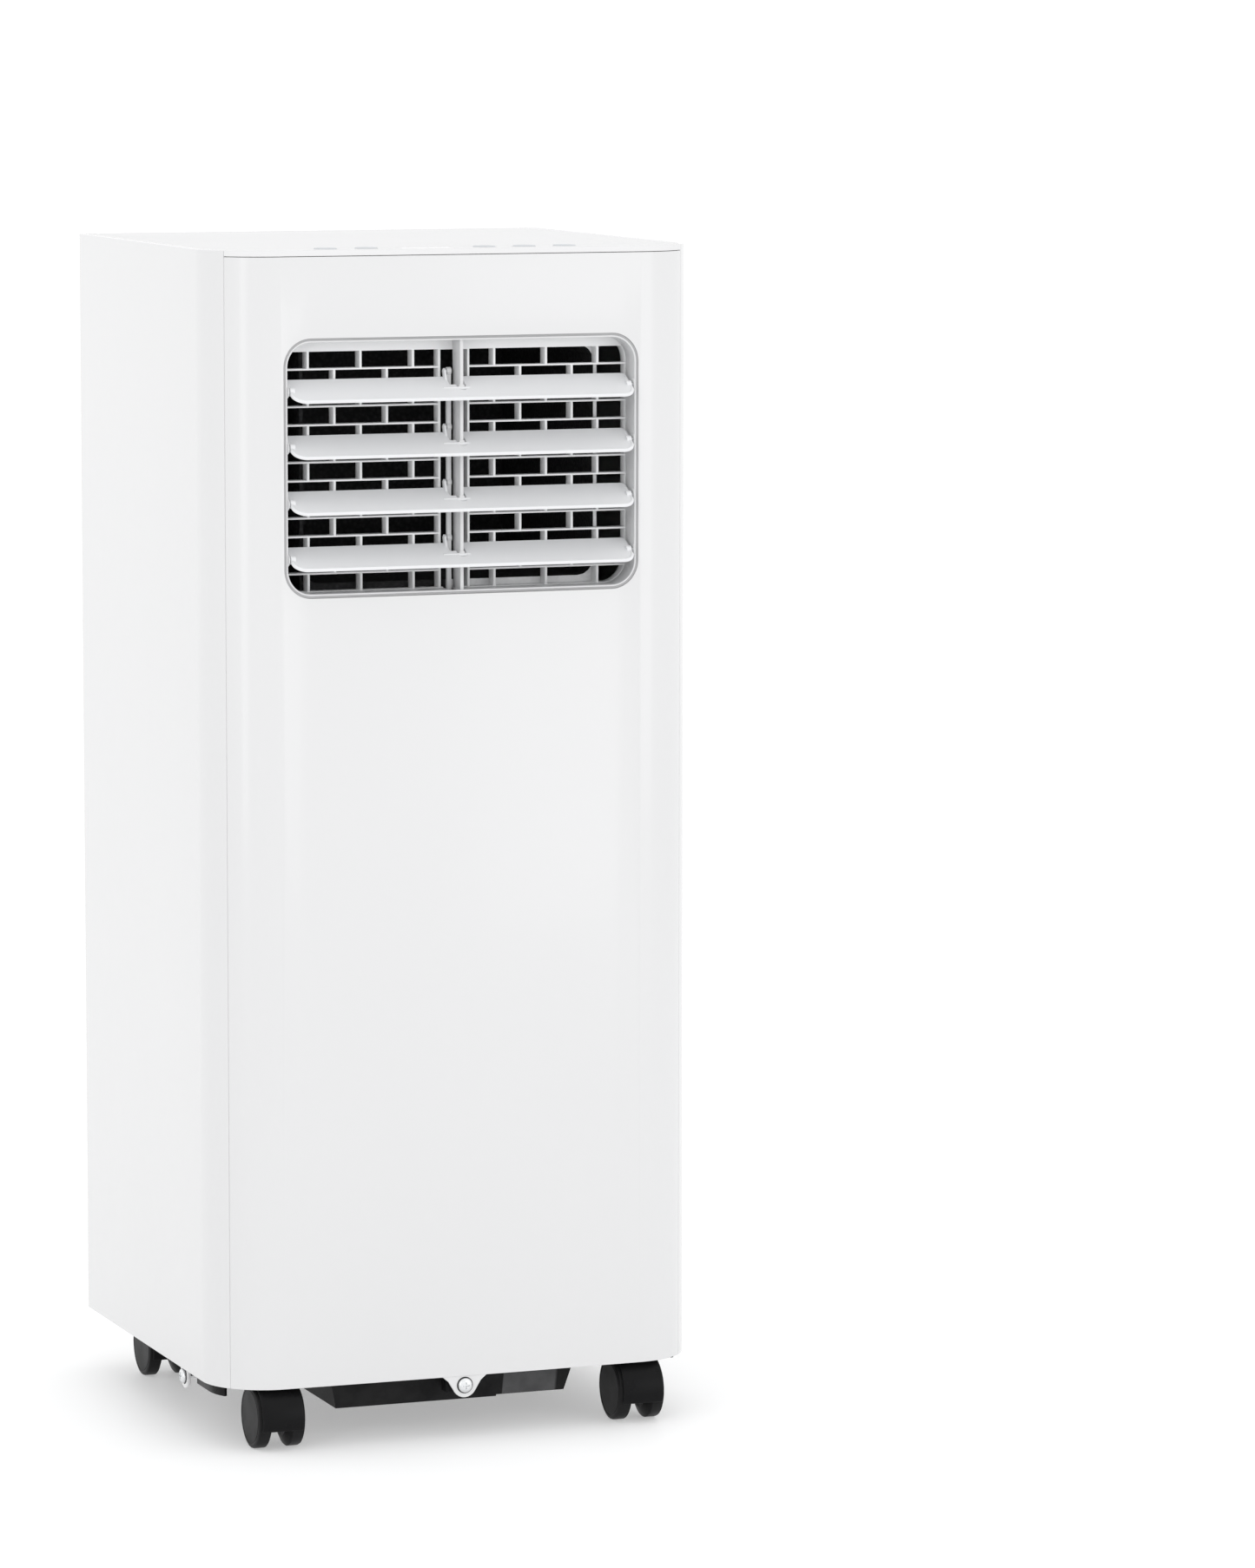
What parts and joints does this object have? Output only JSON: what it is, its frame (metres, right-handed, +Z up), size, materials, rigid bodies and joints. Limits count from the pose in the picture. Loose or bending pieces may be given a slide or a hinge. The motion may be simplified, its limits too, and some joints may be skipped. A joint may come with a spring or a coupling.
{
  "type": "portable air conditioner",
  "caption": "Tall white portable air conditioner with a rounded front, a louvered air outlet, a flush top control strip and black twin-wheel casters.",
  "frame": {"origin": "on the floor, under the middle of the footprint with the louvers open", "axes": "+X to the right seen from the front, +Y to the back, +Z up; the air outlet faces -Y"},
  "size_m": [0.29, 0.283, 0.6797],
  "materials": {
    "white_gloss": "smooth glossy moulding",
    "white_satin": "satin moulding",
    "louver_white": "satin moulding",
    "button_grey": "fine matte",
    "display_glass": "dark smoked lens",
    "circuit_board": "solder mask",
    "foam": "moulded polystyrene foam",
    "black_plastic": "fine matte",
    "caster_tread": "satin",
    "steel_bright": "bright plated",
    "steel_zinc": "galvanised sheet",
    "steel_black": "black enamel",
    "aluminium_fin": "bare fins",
    "copper_tube": "drawn copper"
  },
  "bodies": {
    "body": {"front_panel": "white_gloss", "right_side_panel": "white_gloss", "left_side_panel": "white_gloss", "top_cover": "white_gloss", "control_panel": "white_gloss", "rear_panel": "white_satin", "outlet_frame": "white_satin", "outlet_grille": "white_satin", "exhaust_collar": "white_satin", "display_window": "display_glass", "control_board": "circuit_board", "outlet_duct": "foam", "evaporator_volute": "foam", "partition_deck": "foam", "base_pan": "black_plastic", "drip_tray": "black_plastic", "condenser_volute": "black_plastic", "cord_gland": "black_plastic", "front_screw": "steel_bright", "left_screw": "steel_bright", "swing_motor": "steel_bright", "electrical_box": "steel_zinc", "compressor": "steel_black", "evaporator_motor": "steel_black", "condenser_motor": "steel_black", "evaporator_coil": "aluminium_fin", "condenser_coil": "aluminium_fin", "suction_pipe": "copper_tube", "discharge_pipe": "copper_tube"},
    "swing_crank": {"swing_crank": "white_satin"},
    "louver_link": {"louver_link": "white_satin"},
    "evaporator_wheel": {"evaporator_wheel": "white_satin"},
    "condenser_wheel": {"condenser_wheel": "black_plastic"},
    "intake_filter": {"intake_filter": "white_satin"},
    "drain_plug": {"drain_plug": "black_plastic"},
    "louver_1": {"louver_1": "louver_white"},
    "louver_2": {"louver_2": "louver_white"},
    "louver_3": {"louver_3": "louver_white"},
    "louver_4": {"louver_4": "louver_white"},
    "button_1": {"button_1": "button_grey"},
    "button_2": {"button_2": "button_grey"},
    "button_3": {"button_3": "button_grey"},
    "button_4": {"button_4": "button_grey"},
    "button_5": {"button_5": "button_grey"},
    "caster_front_left": {"caster_hood_front_left": "black_plastic", "caster_axle_front_left": "steel_bright"},
    "caster_wheel_front_left_l": {"caster_wheel_front_left_l": "caster_tread"},
    "caster_wheel_front_left_r": {"caster_wheel_front_left_r": "caster_tread"},
    "caster_front_right": {"caster_hood_front_right": "black_plastic", "caster_axle_front_right": "steel_bright"},
    "caster_wheel_front_right_l": {"caster_wheel_front_right_l": "caster_tread"},
    "caster_wheel_front_right_r": {"caster_wheel_front_right_r": "caster_tread"},
    "caster_rear_left": {"caster_hood_rear_left": "black_plastic", "caster_axle_rear_left": "steel_bright"},
    "caster_wheel_rear_left_l": {"caster_wheel_rear_left_l": "caster_tread"},
    "caster_wheel_rear_left_r": {"caster_wheel_rear_left_r": "caster_tread"},
    "caster_rear_right": {"caster_hood_rear_right": "black_plastic", "caster_axle_rear_right": "steel_bright"},
    "caster_wheel_rear_right_l": {"caster_wheel_rear_right_l": "caster_tread"},
    "caster_wheel_rear_right_r": {"caster_wheel_rear_right_r": "caster_tread"}
  },
  "joints": [
    {"name": "swing_crank_turn", "type": "hinge", "parent": "body", "child": "swing_crank", "pos_m": [-0.0068, -0.1086, 0.462], "axis": [1, 0, 0], "range_deg": [-30, 32]},
    {"name": "louver_link_sway", "type": "hinge", "parent": "swing_crank", "child": "louver_link", "pos_m": [-0.0042, -0.09818, 0.47116], "axis": [1, 0, 0], "range_deg": [-33, 31]},
    {"name": "louver_1_tilt", "type": "hinge", "parent": "body", "child": "louver_1", "pos_m": [0, -0.1306, 0.6004], "axis": [1, 0, 0], "range_deg": [-31, 33]},
    {"name": "louver_2_tilt", "type": "hinge", "parent": "body", "child": "louver_2", "pos_m": [0, -0.1306, 0.56913], "axis": [1, 0, 0], "range_deg": [-31, 33]},
    {"name": "louver_3_tilt", "type": "hinge", "parent": "body", "child": "louver_3", "pos_m": [0, -0.1306, 0.53786], "axis": [1, 0, 0], "range_deg": [-31, 33]},
    {"name": "louver_4_tilt", "type": "hinge", "parent": "body", "child": "louver_4", "pos_m": [0, -0.1306, 0.50659], "axis": [1, 0, 0], "range_deg": [-31, 33]},
    {"name": "evaporator_wheel_spin", "type": "hinge", "parent": "body", "child": "evaporator_wheel", "pos_m": [-0.014, 0.0099, 0.4105], "axis": [0, 1, 0], "continuous": true},
    {"name": "condenser_wheel_spin", "type": "hinge", "parent": "body", "child": "condenser_wheel", "pos_m": [0.034, 0.0679, 0.146], "axis": [0, 1, 0], "continuous": true},
    {"name": "button_1_press", "type": "slide", "parent": "body", "child": "button_1", "axis": [0, 0, -1], "range_m": [0, 0.0012], "stiffness_N_per_m": 600},
    {"name": "button_2_press", "type": "slide", "parent": "body", "child": "button_2", "axis": [0, 0, -1], "range_m": [0, 0.0012], "stiffness_N_per_m": 600},
    {"name": "button_3_press", "type": "slide", "parent": "body", "child": "button_3", "axis": [0, 0, -1], "range_m": [0, 0.0012], "stiffness_N_per_m": 600},
    {"name": "button_4_press", "type": "slide", "parent": "body", "child": "button_4", "axis": [0, 0, -1], "range_m": [0, 0.0012], "stiffness_N_per_m": 600},
    {"name": "button_5_press", "type": "slide", "parent": "body", "child": "button_5", "axis": [0, 0, -1], "range_m": [0, 0.0012], "stiffness_N_per_m": 600},
    {"name": "intake_filter_pull", "type": "slide", "parent": "body", "child": "intake_filter", "axis": [0, 1, 0], "range_m": [0, 0.03]},
    {"name": "drain_plug_pull", "type": "slide", "parent": "body", "child": "drain_plug", "axis": [0, 1, 0], "range_m": [0, 0.012]},
    {"name": "caster_front_left_swivel", "type": "hinge", "parent": "body", "child": "caster_front_left", "pos_m": [-0.109, -0.1067, 0.045], "axis": [0, 0, 1], "continuous": true},
    {"name": "caster_wheel_front_left_l_roll", "type": "hinge", "parent": "caster_front_left", "child": "caster_wheel_front_left_l", "pos_m": [-0.1177, -0.1147, 0.018], "axis": [1, 0, 0], "continuous": true},
    {"name": "caster_wheel_front_left_r_roll", "type": "hinge", "parent": "caster_front_left", "child": "caster_wheel_front_left_r", "pos_m": [-0.1003, -0.1147, 0.018], "axis": [1, 0, 0], "continuous": true},
    {"name": "caster_front_right_swivel", "type": "hinge", "parent": "body", "child": "caster_front_right", "pos_m": [0.109, -0.1067, 0.045], "axis": [0, 0, 1], "continuous": true},
    {"name": "caster_wheel_front_right_l_roll", "type": "hinge", "parent": "caster_front_right", "child": "caster_wheel_front_right_l", "pos_m": [0.1003, -0.1147, 0.018], "axis": [1, 0, 0], "continuous": true},
    {"name": "caster_wheel_front_right_r_roll", "type": "hinge", "parent": "caster_front_right", "child": "caster_wheel_front_right_r", "pos_m": [0.1177, -0.1147, 0.018], "axis": [1, 0, 0], "continuous": true},
    {"name": "caster_rear_left_swivel", "type": "hinge", "parent": "body", "child": "caster_rear_left", "pos_m": [-0.109, 0.1069, 0.045], "axis": [0, 0, 1], "continuous": true},
    {"name": "caster_wheel_rear_left_l_roll", "type": "hinge", "parent": "caster_rear_left", "child": "caster_wheel_rear_left_l", "pos_m": [-0.1177, 0.0989, 0.018], "axis": [1, 0, 0], "continuous": true},
    {"name": "caster_wheel_rear_left_r_roll", "type": "hinge", "parent": "caster_rear_left", "child": "caster_wheel_rear_left_r", "pos_m": [-0.1003, 0.0989, 0.018], "axis": [1, 0, 0], "continuous": true},
    {"name": "caster_rear_right_swivel", "type": "hinge", "parent": "body", "child": "caster_rear_right", "pos_m": [0.109, 0.1069, 0.045], "axis": [0, 0, 1], "continuous": true},
    {"name": "caster_wheel_rear_right_l_roll", "type": "hinge", "parent": "caster_rear_right", "child": "caster_wheel_rear_right_l", "pos_m": [0.1003, 0.0989, 0.018], "axis": [1, 0, 0], "continuous": true},
    {"name": "caster_wheel_rear_right_r_roll", "type": "hinge", "parent": "caster_rear_right", "child": "caster_wheel_rear_right_r", "pos_m": [0.1177, 0.0989, 0.018], "axis": [1, 0, 0], "continuous": true}
  ],
  "couplings": [
    {"joint": "louver_link_sway", "follows": "swing_crank_turn", "ratio": -1},
    {"joint": "louver_1_tilt", "follows": "swing_crank_turn", "ratio": 1},
    {"joint": "louver_2_tilt", "follows": "swing_crank_turn", "ratio": 1},
    {"joint": "louver_3_tilt", "follows": "swing_crank_turn", "ratio": 1},
    {"joint": "louver_4_tilt", "follows": "swing_crank_turn", "ratio": 1}
  ]
}
